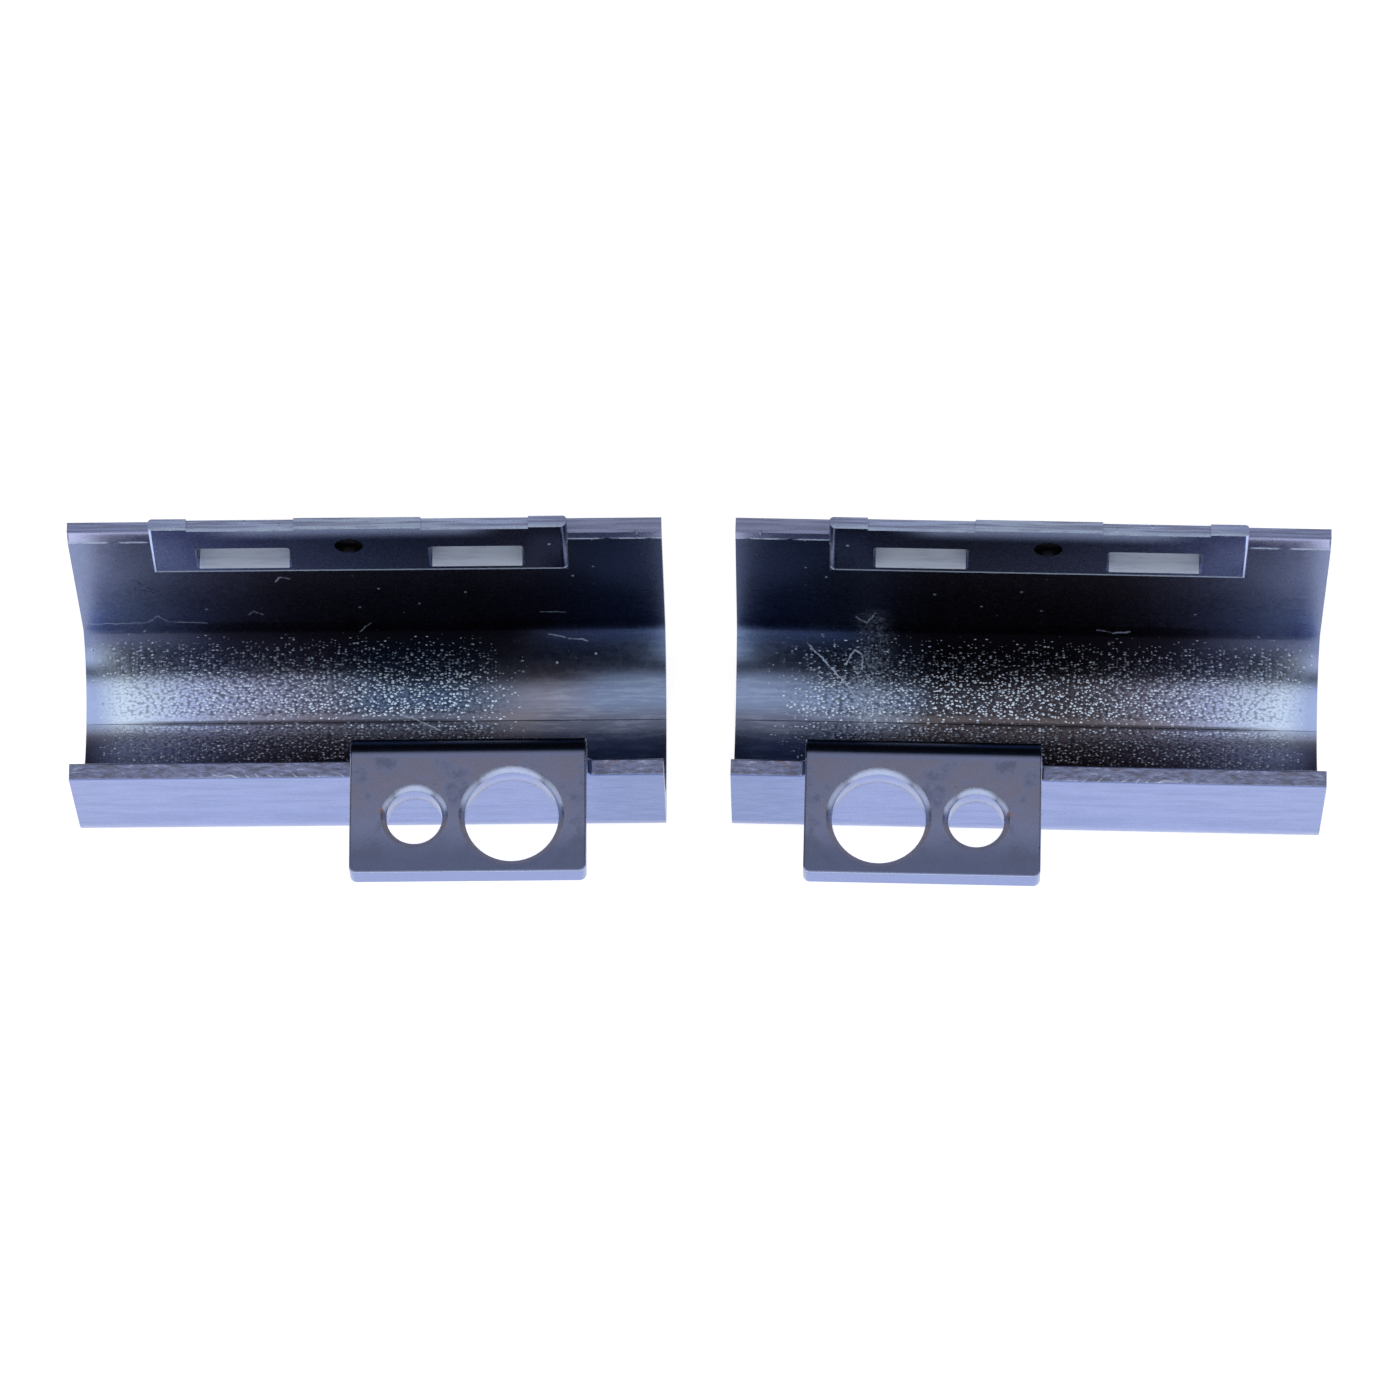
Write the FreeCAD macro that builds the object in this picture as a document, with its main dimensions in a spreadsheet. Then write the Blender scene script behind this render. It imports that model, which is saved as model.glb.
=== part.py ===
"""Pair of laptop hinge covers: two plated die castings, each the mirror image of the other.

Each cover is a channel with a tall wall behind, a half-round trough and a low lip in front.
A slotted tongue stands on the tall wall, and a tab with two holes is folded out from the lip.
A cover's own frame starts at its outer end, at the tab's near edge and on the table:
X runs along the cover, Y from the lip to the tall wall, Z up. All sizes are in millimetres.
"""
import FreeCAD, Part
import math
import os
import Sketcher

SIZES = {
    # the channel
    "cover_length": 30.0,
    "outer_depth": 12.2,
    "tall_wall_height": 14.1,
    "tall_wall": 0.8,
    "wall_lean": 5.0,
    "end_chamfer": 0.23,
    "end_chamfer_drop": 0.64,
    "lip_height": 9.65,
    "lip_wall": 0.9,
    "floor_wall": 0.85,
    "trough_radius": 5.0,
    "corner_radius": 3.3,
    # the raised flow line along the trough
    "ridge_height": 0.05,
    "ridge_ramp": 0.9,
    "ridge_foot": 0.08,
    "ridge_setback": 0.55,
    # the slotted tongue on the tall wall
    "tongue_rise": 1.5,
    "tongue_height": 4.53,
    "tongue_runout": 1.4,
    "tongue_proud": 0.43,
    "tongue_thick": 0.62,
    "tongue_outer_inset": 4.2,
    "tongue_inner_inset": 4.75,
    "tongue_round": 0.2,
    "tongue_inner_round": 0.36,
    "slot_length": 4.8,
    "slot_drop": 2.0,
    "slot_height": 2.17,
    "slot_round": 0.22,
    "slot_spread": 5.9,
    "notch_length": 5.4,
    "notch_depth": 0.16,
    "dimple_diameter": 1.4,
    "dimple_drop": 1.85,
    "dimple_offset": 0.5,
    "dimple_depth": 0.2,
    # the folded tab and its holes
    "tab_reach": 6.5,
    "tab_height": 13.45,
    "tab_thick": 1.45,
    "tab_width": 11.8,
    "tab_inset": 3.8,
    "tab_bend": 1.0,
    "tab_root": 0.5,
    "tab_corner": 0.35,
    "tab_foot": 0.3,
    "screw_hole": 2.8,
    "boss_hole": 4.7,
    "hole_chamfer": 0.28,
    "hole_setback": 3.0,
    "boss_hole_inset": 3.72,
    "hole_spacing": 4.85,
    "edge_break": 0.1,
    # how the two covers lie
    "pair_gap": 3.75,
    "lay_turn": 0.9,
}

# How close two places are to count as the same, in millimetres
NEAR = 1e-3

doc = FreeCAD.newDocument("hinge_covers")
sheet = doc.addObject("Spreadsheet::Sheet", "Sizes")
for row, (alias, size) in enumerate(SIZES.items(), start=1):
    sheet.set(f"A{row}", alias)
    sheet.set(f"B{row}", str(size))
    sheet.setAlias(f"B{row}", alias)
working = doc.addObject("Spreadsheet::Sheet", "Working")
doc.recompute()


def cells(formula):
    """Puts the sheet's name before each size that a formula names."""
    words = []
    word = ""
    for letter in formula + " ":
        if letter.isalnum() or letter == "_":
            word += letter
            continue
        words.append("Sizes." + word if word in SIZES else word)
        words.append(letter)
        word = ""
    return "".join(words).strip()


def value(formula):
    """Works a formula out from the sheet, as the starting place of a sketch's points."""
    working.set("A1", "=" + cells(formula))
    working.recompute()
    return float(working.get("A1"))


# Places that several features share, written with the names of the sizes
LIP_INNER = "(tab_reach + lip_wall)"
TROUGH_Y = f"({LIP_INNER} + trough_radius)"
TROUGH_Z = "(floor_wall + trough_radius)"
WALL_BACK = "(tab_reach + outer_depth)"
LEAN = "(wall_lean * 1 deg)"
TONGUE_LENGTH = "(cover_length - tongue_outer_inset - tongue_inner_inset)"
TONGUE_MIDDLE = f"(tongue_outer_inset + {TONGUE_LENGTH} / 2)"
TONGUE_TOP = "(tall_wall_height + tongue_rise)"
TONGUE_BOTTOM = f"({TONGUE_TOP} - tongue_height)"
SLOT_TOP = f"({TONGUE_TOP} - slot_drop)"
SLOT_BOTTOM = f"({SLOT_TOP} - slot_height)"
DIMPLE_Z = f"({TONGUE_TOP} - dimple_drop)"
TAB_START = "(cover_length - tab_inset - tab_width)"
TAB_UNDER = "(tab_height - tab_thick)"


def on_wall(inset, height):
    """Y of a point that lies a distance in from the leaning outer face, at a height."""
    return f"({WALL_BACK} - ({inset}) / cos({LEAN}) + (({height}) - tall_wall_height) * tan({LEAN}))"


def new_sketch(body, name, role, offset="0"):
    """An empty sketch on one of the body's own planes, moved along that plane's normal."""
    plane = next(feature for feature in body.Origin.OriginFeatures if feature.Role == role)
    sketch = body.newObject("Sketcher::SketchObject", name)
    sketch.AttachmentSupport = [(plane, "")]
    sketch.MapMode = "FlatFace"
    sketch.setExpression("AttachmentOffset.Base.z", cells(offset))
    return sketch


def bind(sketch, kind, *where, formula, unit=""):
    """Adds a driving dimension to a sketch and ties it to the sheet."""
    size = value(formula)
    if unit == "deg":
        size = math.radians(size)
    index = sketch.addConstraint(Sketcher.Constraint(kind, *where, size))
    sketch.setExpression(f"Constraints[{index}]", cells(f"({formula}) * 1 {unit or 'mm'}"))


def polygon(sketch, corners):
    """A closed outline of straight lines whose corners are tied to the sheet."""
    points = [FreeCAD.Vector(value(across), value(up), 0) for across, up in corners]
    first = sketch.GeometryCount
    count = len(points)
    for start, end in zip(points, points[1:] + points[:1]):
        sketch.addGeometry(Part.LineSegment(start, end), False)
    for step in range(count):
        after = first + (step + 1) % count
        sketch.addConstraint(Sketcher.Constraint("Coincident", first + step, 2, after, 1))
    for step, (across, up) in enumerate(corners):
        bind(sketch, "DistanceX", -1, 1, first + step, 1, formula=across)
        bind(sketch, "DistanceY", -1, 1, first + step, 1, formula=up)


def circle(sketch, across, up, diameter):
    """A circle whose centre and diameter are tied to the sheet."""
    centre = FreeCAD.Vector(value(across), value(up), 0)
    shape = Part.Circle(centre, FreeCAD.Vector(0, 0, 1), value(diameter) / 2)
    index = sketch.addGeometry(shape, False)
    bind(sketch, "DistanceX", -1, 1, index, 3, formula=across)
    bind(sketch, "DistanceY", -1, 1, index, 3, formula=up)
    bind(sketch, "Diameter", index, formula=diameter)


def pad(body, sketch, length):
    """Thickens a sketch along its plane's normal."""
    feature = body.newObject("PartDesign::Pad", sketch.Name + "_pad")
    feature.Profile = sketch
    feature.setExpression("Length", cells(length))
    doc.recompute()
    return feature


def pocket(body, sketch, length, along_normal):
    """Cuts a sketch into the body and makes sure that something was cut."""
    before = body.Tip.Shape.Volume
    feature = body.newObject("PartDesign::Pocket", sketch.Name + "_cut")
    feature.Profile = sketch
    feature.Reversed = along_normal
    feature.setExpression("Length", cells(length))
    doc.recompute()
    if feature.Shape.Volume >= before:
        raise RuntimeError(f"{feature.Name} cuts nothing")
    return feature


def edges(feature, test):
    """Names of the feature's edges whose box passes a test."""
    names = []
    for number, edge in enumerate(feature.Shape.Edges, start=1):
        if test(edge.BoundBox):
            names.append(f"Edge{number}")
    return names


def ease(body, kind, name, property_name, size, test):
    """Rounds or chamfers the edges of the body's last feature that pass a test."""
    base = body.Tip
    feature = body.newObject(f"PartDesign::{kind}", name)
    feature.Base = (base, edges(base, test))
    feature.setExpression(property_name, cells(size))
    doc.recompute()
    return feature


def arc(centre, radius, start, end):
    """A counter-clockwise arc between two angles in degrees."""
    middle = FreeCAD.Vector(value(centre[0]), value(centre[1]), 0)
    round_line = Part.Circle(middle, FreeCAD.Vector(0, 0, 1), value(radius))
    return Part.ArcOfCircle(round_line, math.radians(start), math.radians(end))


def line(start, end):
    """A straight sketch line between two points given as formulas."""
    first = FreeCAD.Vector(value(start[0]), value(start[1]), 0)
    last = FreeCAD.Vector(value(end[0]), value(end[1]), 0)
    return Part.LineSegment(first, last)


def draw_channel(sketch):
    """The cover's section: outer skin, lip, half-round trough and leaning tall wall."""
    rear_y = on_wall("corner_radius", "corner_radius")
    front_y = "(tab_reach + corner_radius)"
    kink_y = on_wall("tall_wall", "floor_wall + trough_radius / 2")
    wall_inner_y = on_wall("tall_wall", "tall_wall_height")
    wall_outer, rear, base, front, lip_outer, lip_end, lip_inner, trough, wall_inner, wall_end = range(10)
    sketch.addGeometry([
        line((on_wall("0", "corner_radius"), "corner_radius"), (WALL_BACK, "tall_wall_height")),
        arc((rear_y, "corner_radius"), "corner_radius", 270, 360 - value("wall_lean")),
        line((front_y, "0"), (rear_y, "0")),
        arc((front_y, "corner_radius"), "corner_radius", 180, 270),
        line(("tab_reach", "lip_height"), ("tab_reach", "corner_radius")),
        line((LIP_INNER, "lip_height"), ("tab_reach", "lip_height")),
        line((LIP_INNER, TROUGH_Z), (LIP_INNER, "lip_height")),
        arc((TROUGH_Y, TROUGH_Z), "trough_radius", 180, 330),
        line((kink_y, "floor_wall + trough_radius / 2"), (wall_inner_y, "tall_wall_height")),
        line((WALL_BACK, "tall_wall_height"), (wall_inner_y, "tall_wall_height")),
    ], False)
    for first, first_end, second, second_end in (
        (wall_outer, 1, rear, 2), (rear, 1, base, 2), (base, 1, front, 2),
        (front, 1, lip_outer, 2), (lip_inner, 1, trough, 1),
    ):
        sketch.addConstraint(Sketcher.Constraint("Tangent", first, first_end, second, second_end))
    for first, first_end, second, second_end in (
        (lip_outer, 1, lip_end, 2), (lip_end, 1, lip_inner, 2), (trough, 2, wall_inner, 1),
        (wall_inner, 2, wall_end, 2), (wall_end, 1, wall_outer, 2),
    ):
        sketch.addConstraint(Sketcher.Constraint("Coincident", first, first_end, second, second_end))
    sketch.addConstraint(Sketcher.Constraint("PointOnObject", base, 1, -1))
    sketch.addConstraint(Sketcher.Constraint("Horizontal", base))
    sketch.addConstraint(Sketcher.Constraint("Horizontal", lip_end))
    sketch.addConstraint(Sketcher.Constraint("Vertical", lip_outer))
    sketch.addConstraint(Sketcher.Constraint("Vertical", lip_inner))
    sketch.addConstraint(Sketcher.Constraint("Parallel", wall_outer, wall_inner))
    sketch.addConstraint(Sketcher.Constraint("Horizontal", wall_end))
    bind(sketch, "Radius", rear, formula="corner_radius")
    bind(sketch, "Radius", front, formula="corner_radius")
    bind(sketch, "Radius", trough, formula="trough_radius")
    bind(sketch, "DistanceX", -1, 1, lip_outer, 1, formula="tab_reach")
    bind(sketch, "DistanceY", -1, 1, lip_outer, 1, formula="lip_height")
    bind(sketch, "DistanceX", lip_end, 2, lip_end, 1, formula="lip_wall")
    bind(sketch, "DistanceY", -1, 1, trough, 3, formula=TROUGH_Z)
    bind(sketch, "DistanceX", -1, 1, wall_outer, 2, formula=WALL_BACK)
    bind(sketch, "DistanceY", -1, 1, wall_outer, 2, formula="tall_wall_height")
    bind(sketch, "Distance", wall_end, formula=f"tall_wall / cos({LEAN})")
    bind(sketch, "Angle", wall_outer, formula="90 - wall_lean", unit="deg")


def trough_height(across):
    """Height of the trough's surface at a distance behind its middle line."""
    return f"({TROUGH_Z} - sqrt(trough_radius ^ 2 - ({across}) ^ 2))"


def add_channel(body):
    """The open-ended channel, with the flow line that the casting left along its trough."""
    section = new_sketch(body, "channel", "YZ_Plane")
    draw_channel(section)
    pad(body, section, "cover_length")
    start = "(ridge_setback + ridge_ramp)"
    foot = "(ridge_setback - ridge_foot)"
    crest_height = f"{trough_height('ridge_setback')} + ridge_height"
    ridge = new_sketch(body, "flow_line", "YZ_Plane")
    polygon(ridge, [
        (f"{TROUGH_Y} + {foot}", "floor_wall / 2"),
        (f"{TROUGH_Y} + {start}", "floor_wall / 2"),
        (f"{TROUGH_Y} + {start}", trough_height(start)),
        (f"{TROUGH_Y} + ridge_setback", crest_height),
        (f"{TROUGH_Y} + {foot}", trough_height(foot)),
    ])
    pad(body, ridge, "cover_length")


def cut_end_chamfer(body):
    """The bevel inside the tall wall's end, from the outer end to the tongue."""
    thin = "(tall_wall - end_chamfer)"
    low = "(tall_wall_height - end_chamfer_drop)"
    clear = "(tall_wall + end_chamfer)"
    clear_end = "(tall_wall_height + end_chamfer_drop)"
    bevel = new_sketch(body, "end_bevel", "YZ_Plane")
    polygon(bevel, [
        (on_wall(thin, "tall_wall_height"), "tall_wall_height"),
        (on_wall("tall_wall", low), low),
        (on_wall(clear, clear_end), clear_end),
    ])
    pocket(body, bevel, "tongue_outer_inset", along_normal=True)


def add_tongue(body):
    """The tongue, which stands proud of the tall wall's inner face and rises above its end."""
    face = "(tall_wall + tongue_proud)"
    back = f"({face} - tongue_thick)"
    foot = f"({TONGUE_BOTTOM} - tongue_runout)"
    section = new_sketch(body, "tongue", "YZ_Plane", "tongue_outer_inset")
    polygon(section, [
        (on_wall(face, TONGUE_BOTTOM), TONGUE_BOTTOM),
        (on_wall(back, foot), foot),
        (on_wall(back, TONGUE_TOP), TONGUE_TOP),
        (on_wall(face, TONGUE_TOP), TONGUE_TOP),
    ])
    pad(body, section, TONGUE_LENGTH)
    top = value(TONGUE_TOP)
    wall_top = value("tall_wall_height")
    free_height = (top - wall_top) / 2
    inner_end = value("cover_length - tongue_inner_inset")

    def is_upright_corner(box):
        return abs(box.ZMax - top) < NEAR and box.ZLength > free_height and box.XLength < NEAR

    def is_inner_front(box):
        return is_upright_corner(box) and box.XMin > inner_end - NEAR and box.ZMin < wall_top - NEAR

    def is_other_corner(box):
        return is_upright_corner(box) and not is_inner_front(box)

    ease(body, "Fillet", "tongue_inner_corner", "Radius", "tongue_inner_round", is_inner_front)
    ease(body, "Fillet", "tongue_corners", "Radius", "tongue_round", is_other_corner)


def rectangle(sketch, middle, length, low, high):
    """An upright rectangle about a middle line, between two heights."""
    polygon(sketch, [
        (f"{middle} - {length} / 2", low),
        (f"{middle} + {length} / 2", low),
        (f"{middle} + {length} / 2", high),
        (f"{middle} - {length} / 2", high),
    ])


def cut_tongue(body):
    """Two slots for the mating hooks, the notches above them and the round dimple between."""
    face = "(tall_wall + tongue_proud)"
    reach = f"({face} * 2 + tall_wall_height * tan({LEAN}))"
    slot_middles = [f"({TONGUE_MIDDLE} - slot_spread)", f"({TONGUE_MIDDLE} + slot_spread)"]
    slots = new_sketch(body, "hook_slots", "XZ_Plane", f"-{WALL_BACK}")
    for middle in slot_middles:
        rectangle(slots, middle, "slot_length", SLOT_BOTTOM, SLOT_TOP)
    pocket(body, slots, reach, along_normal=True)
    slot_levels = (value(SLOT_BOTTOM), value(SLOT_TOP))

    def is_slot_corner(box):
        level = box.ZLength < NEAR and min(abs(box.ZMin - slot) for slot in slot_levels) < NEAR
        return level and box.XLength < NEAR

    ease(body, "Fillet", "slot_corners", "Radius", "slot_round", is_slot_corner)
    notch_plane = f"-({WALL_BACK} + {TONGUE_TOP} * tan({LEAN}))"
    notch_low = f"({TONGUE_TOP} - notch_depth)"
    notch_high = f"({TONGUE_TOP} + notch_depth)"
    notches = new_sketch(body, "top_notches", "XZ_Plane", notch_plane)
    for middle in slot_middles:
        rectangle(notches, middle, "notch_length", notch_low, notch_high)
    pocket(body, notches, reach, along_normal=True)
    face_at_dimple = on_wall(face, DIMPLE_Z)
    dimple = new_sketch(body, "dimple", "XZ_Plane", f"-({face_at_dimple} - dimple_diameter)")
    circle(dimple, f"{TONGUE_MIDDLE} - dimple_offset", DIMPLE_Z, "dimple_diameter")
    pocket(body, dimple, "dimple_diameter + dimple_depth", along_normal=False)


def draw_tab(sketch):
    """The tab's section: a stem on the lip that folds outwards into a level plate."""
    stem_low = "(lip_height - lip_wall)"
    bend_y = f"({LIP_INNER} - tab_bend)"
    bend_z = "(tab_height - tab_bend)"
    root_y = "(tab_reach - tab_root)"
    root_z = f"({TAB_UNDER} - tab_root)"
    near_end, top, bend, stem_back, stem_end, stem_front, root, under = range(8)
    sketch.addGeometry([
        line(("0", TAB_UNDER), ("0", "tab_height")),
        line(("0", "tab_height"), (bend_y, "tab_height")),
        arc((bend_y, bend_z), "tab_bend", 0, 90),
        line((LIP_INNER, bend_z), (LIP_INNER, stem_low)),
        line((LIP_INNER, stem_low), ("tab_reach", stem_low)),
        line(("tab_reach", stem_low), ("tab_reach", root_z)),
        arc((root_y, root_z), "tab_root", 0, 90),
        line((root_y, TAB_UNDER), ("0", TAB_UNDER)),
    ], False)
    for first, first_end, second, second_end in (
        (top, 2, bend, 2), (stem_back, 1, bend, 1), (stem_front, 2, root, 1), (under, 1, root, 2),
    ):
        sketch.addConstraint(Sketcher.Constraint("Tangent", first, first_end, second, second_end))
    for first, second in (
        (near_end, top), (stem_back, stem_end), (stem_end, stem_front), (under, near_end),
    ):
        sketch.addConstraint(Sketcher.Constraint("Coincident", first, 2, second, 1))
    for flat in (top, stem_end, under):
        sketch.addConstraint(Sketcher.Constraint("Horizontal", flat))
    for upright in (near_end, stem_back, stem_front):
        sketch.addConstraint(Sketcher.Constraint("Vertical", upright))
    sketch.addConstraint(Sketcher.Constraint("PointOnObject", near_end, 1, -2))
    bind(sketch, "DistanceY", -1, 1, near_end, 1, formula=TAB_UNDER)
    bind(sketch, "DistanceY", -1, 1, near_end, 2, formula="tab_height")
    bind(sketch, "DistanceX", -1, 1, stem_end, 1, formula=LIP_INNER)
    bind(sketch, "DistanceY", -1, 1, stem_end, 1, formula=stem_low)
    bind(sketch, "DistanceX", -1, 1, stem_end, 2, formula="tab_reach")
    bind(sketch, "Radius", bend, formula="tab_bend")
    bind(sketch, "Radius", root, formula="tab_root")


def add_tab(body):
    """The folded tab with its rounded corners and its two holes, the large one inwards."""
    section = new_sketch(body, "tab", "YZ_Plane", TAB_START)
    draw_tab(section)
    pad(body, section, "tab_width")
    under = value(TAB_UNDER)
    top = value("tab_height")
    lip_top = value("lip_height")
    lip_inner = value(LIP_INNER)
    ends = (value(TAB_START), value(f"{TAB_START} + tab_width"))
    rims = (value("boss_hole"), value("screw_hole"))
    corner = value("tab_corner")

    def is_at_end(box):
        return box.XLength < NEAR and min(abs(box.XMin - end) for end in ends) < NEAR

    def is_near_corner(box):
        return is_at_end(box) and box.YMax < NEAR and box.ZMin > under - NEAR

    def is_foot(box):
        level = abs(box.ZMax - lip_top) < NEAR and box.ZLength < NEAR
        return is_at_end(box) and level and box.YMax < lip_inner + NEAR

    def is_rim(box):
        return box.ZMin > top - NEAR and min(abs(box.XLength - rim) for rim in rims) < NEAR

    def is_near_edge(box):
        return box.ZLength < NEAR and box.ZMin > under - NEAR and box.YMax < corner + NEAR

    ease(body, "Fillet", "tab_corners", "Radius", "tab_corner", is_near_corner)
    ease(body, "Fillet", "tab_foot", "Radius", "tab_foot", is_foot)
    holes = new_sketch(body, "holes", "XY_Plane", "tab_height")
    boss_x = f"({TAB_START} + tab_width - boss_hole_inset)"
    circle(holes, boss_x, "hole_setback", "boss_hole")
    circle(holes, f"({boss_x} - hole_spacing)", "hole_setback", "screw_hole")
    pocket(body, holes, "tab_thick * 2", along_normal=False)
    ease(body, "Chamfer", "hole_rims", "Size", "hole_chamfer", is_rim)
    ease(body, "Fillet", "tab_edges", "Radius", "edge_break", is_near_edge)


def place(body):
    """Lays the cover left of the middle, turned a little, with the pair's box about the origin."""
    turn = "(lay_turn * 1 deg)"
    back = f"({WALL_BACK} * cos({turn}) + cover_length * sin({turn}))"
    near = f"({TAB_START} * sin({turn}))"
    outer_end = f"-pair_gap / 2 - cover_length * cos({turn}) + {WALL_BACK} * sin({turn})"
    turned = FreeCAD.Rotation(FreeCAD.Vector(0, 0, 1), value("lay_turn"))
    body.Placement = FreeCAD.Placement(FreeCAD.Vector(), turned)
    body.setExpression("Placement.Rotation.Angle", cells(turn))
    body.setExpression("Placement.Base.x", cells(outer_end))
    body.setExpression("Placement.Base.y", cells(f"-({back} + {near}) / 2"))
    doc.recompute()


left = doc.addObject("PartDesign::Body", "left_hinge_cover")
left.Label = "left_hinge_cover"
add_channel(left)
cut_end_chamfer(left)
add_tongue(left)
cut_tongue(left)
add_tab(left)
place(left)

right = doc.addObject("Part::Mirroring", "right_hinge_cover")
right.Label = "right_hinge_cover"
right.Source = left
right.Normal = FreeCAD.Vector(1, 0, 0)
doc.removeObject(working.Name)
doc.recompute()

for thing in doc.Objects:
    if "Invalid" in thing.State or "Error" in thing.State:
        raise RuntimeError(f"{thing.Name} failed: {thing.State}")
os.makedirs("parts", exist_ok=True)
for cover in (left, right):
    if cover.Shape.isNull() or not cover.Shape.isValid():
        raise RuntimeError(f"{cover.Label} has no sound shape")
    cover.Shape.exportStep(f"parts/{cover.Label}.step")
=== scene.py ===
"""Looks for the pair of laptop hinge covers: dark nickel-plated die castings on a white table."""
import math

import bpy
from mathutils import Matrix, Quaternion, Vector


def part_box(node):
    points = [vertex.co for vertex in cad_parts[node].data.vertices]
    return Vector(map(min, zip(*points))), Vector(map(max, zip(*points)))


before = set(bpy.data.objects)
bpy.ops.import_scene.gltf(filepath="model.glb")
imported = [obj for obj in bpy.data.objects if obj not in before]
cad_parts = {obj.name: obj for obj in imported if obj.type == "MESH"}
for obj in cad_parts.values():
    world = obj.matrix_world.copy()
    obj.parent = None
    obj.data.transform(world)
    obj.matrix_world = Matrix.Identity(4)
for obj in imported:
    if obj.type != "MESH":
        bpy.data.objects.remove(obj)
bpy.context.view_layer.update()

MM = 0.001

# The camera, as the photograph's own perspective gives it
TARGET = Vector((0.0755, 1.9701, 8.0)) * MM
AZIMUTH = math.radians(2.736)
ELEVATION = math.radians(68.682)
ROLL = math.radians(-2.232)
DISTANCE = 411.8 * MM
LENS = 208.54
SENSOR = 36.0

# A cover's own frame, in millimetres: its outer end, the tab's near edge and the table are zero
LAY_TURN = math.radians(0.9)
COVER_LENGTH = 30.0
WALL_BACK = 18.7

# The casting's section, in the cover's frame
LIP_INNER = 7.4
LIP_TOP = 9.65
TROUGH_Y = 12.4
TROUGH_Z = 5.85
TROUGH_RADIUS = 5.0
FLOW_LINE_Y = 12.93
WALL_INNER = 17.897
WALL_TOP = 14.1
WALL_END_DROP = 0.64
WALL_SLOPE = math.tan(math.radians(5.0))
TONGUE_BOTTOM = 11.07
TONGUE_TOP = 15.6
TONGUE_FACE = 17.6
TONGUE_MIDDLE = 14.725
TONGUE_LENGTH = 21.05
DIMPLE_MIDDLE = 14.225
DIMPLE_HEIGHT = 13.75
DIMPLE_RADIUS = 0.7
SLOT_LEDGE = 11.43

# Where one stretch of the skin gives way to the next, in the cover's frame: start and end of each change
TAB_FRONT = (0.3, 0.6)
TAB_NEAR_EDGE = (0.6, 2.6)
TAB_FAR_HALF = (2.2, 4.2)
TAB_BACK = (6.0, 6.2)
TAB_RIMS = (13.1, 13.2)
LIP_FRONT = (6.3, 6.5)
LIP_BACK = (7.6, 8.4)
LEVEL_ENDS = (9.0, 9.5)
BEND_HEIGHT = (11.4, 11.8)
WALL_SIDE = (16.4, 16.7)
STRIP_SIDE = (15.0, 16.0)
STRIP_HEIGHT = (13.0, 13.5)
FAR_SIDE = (14.0, 15.0)
OUTER_GLARE = (1.5, 8.0)
INNER_END = (21.5, 24.5)
INNER_SHADOW = (23.0, 28.0)

# Stretches of the skin with marks, painted shade and painted highlights of their own, in the cover's frame:
# start and end of each
BEND = (6.48, 8.0)
DIMPLE = (16.7, 17.95)
SMOOTH_BAND = (FLOW_LINE_Y, 13.1)
GLARE_BAND = (12.7, 15.1)
EASED_STRETCH = (9.5, 19.5)
SHADED_STRETCH = (8.0, 22.0)
FLOW_LINE_STRETCH = (5.0, 17.0)
BURR_STRETCH = (6.5, 13.5)
LEFT_GRAINS_END = 23.6
RIGHT_GRAINS_END = 29.0

# Relief of the skin, in millimetres, which the scene adds by shading alone
GRAIN_RELIEF = 0.05
SCRAPE_RELIEF = 0.03
STREAK_RELIEF = 0.004
WAVE_RELIEF = 0.002
FINE_RELIEF = 0.0006

# Burrs on the lip's end: their slant, how close they stand and where they start
BURR_SLANT = 1.6
BURR_RATE = 7.5
BURR_FRONT = 6.5

# Cleaning of the meshes, and the edges as the plating rounds them and wear brightens them
EDGE_WIDTH = 0.1 * MM
EDGE_ANGLE = math.radians(32)
FLAT_ANGLE = math.radians(0.5)
WELD_REACH = 0.001 * MM
WORN_METALLIC = 0.55

# Light: a large soft light overhead, low ones in front and at the sides, and little from behind
SKY = 0.03
TABLE_COLOUR = (0.82, 0.82, 0.83)
TABLE_GLOW = 0.75
TABLE_REACH = 3.0
TABLE_DROP = -0.01 * MM
SOFT_LIGHTS = {
    # name: place, size and power
    "overhead": ((0.0, -0.16, 0.8), (1.6, 1.04), 4.9),
    "front": ((0.0, -0.95, 0.27), (2.4, 0.5), 4.4),
    "left": ((-1.2, -0.25, 0.27), (0.9, 0.5), 1.2),
    "right": ((1.2, -0.25, 0.27), (0.9, 0.5), 1.2),
}

# Colours of the plating, as it reflects, along the cover from its outer end in millimetres: trough and wall
# hold painted reflection and shade
LEFT_TROUGH_PAINTED_LIGHT = [
    (0.3, (0.38, 0.48, 0.78)), (1.8, (0.65, 0.79, 1.0)), (5.5, (0.47, 0.56, 0.90)),
    (9.0, (0.33, 0.36, 0.57)),
    (12.5, (0.19, 0.21, 0.33)), (15.0, (0.10, 0.16, 0.29)), (19.0, (0.10, 0.16, 0.29)),
    (22.0, (0.19, 0.21, 0.30)), (24.0, (0.21, 0.21, 0.29)), (27.0, (0.175, 0.23, 0.38)),
]
RIGHT_TROUGH_PAINTED_LIGHT = [
    (0.3, (0.38, 0.48, 0.78)), (1.8, (0.62, 0.76, 1.0)), (5.5, (0.42, 0.48, 0.76)),
    (9.0, (0.20, 0.20, 0.29)),
    (12.5, (0.08, 0.075, 0.095)), (19.8, (0.065, 0.07, 0.10)), (21.2, (0.19, 0.25, 0.39)),
    (25.0, (0.28, 0.37, 0.60)), (28.0, (0.20, 0.26, 0.43)),
]
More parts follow.
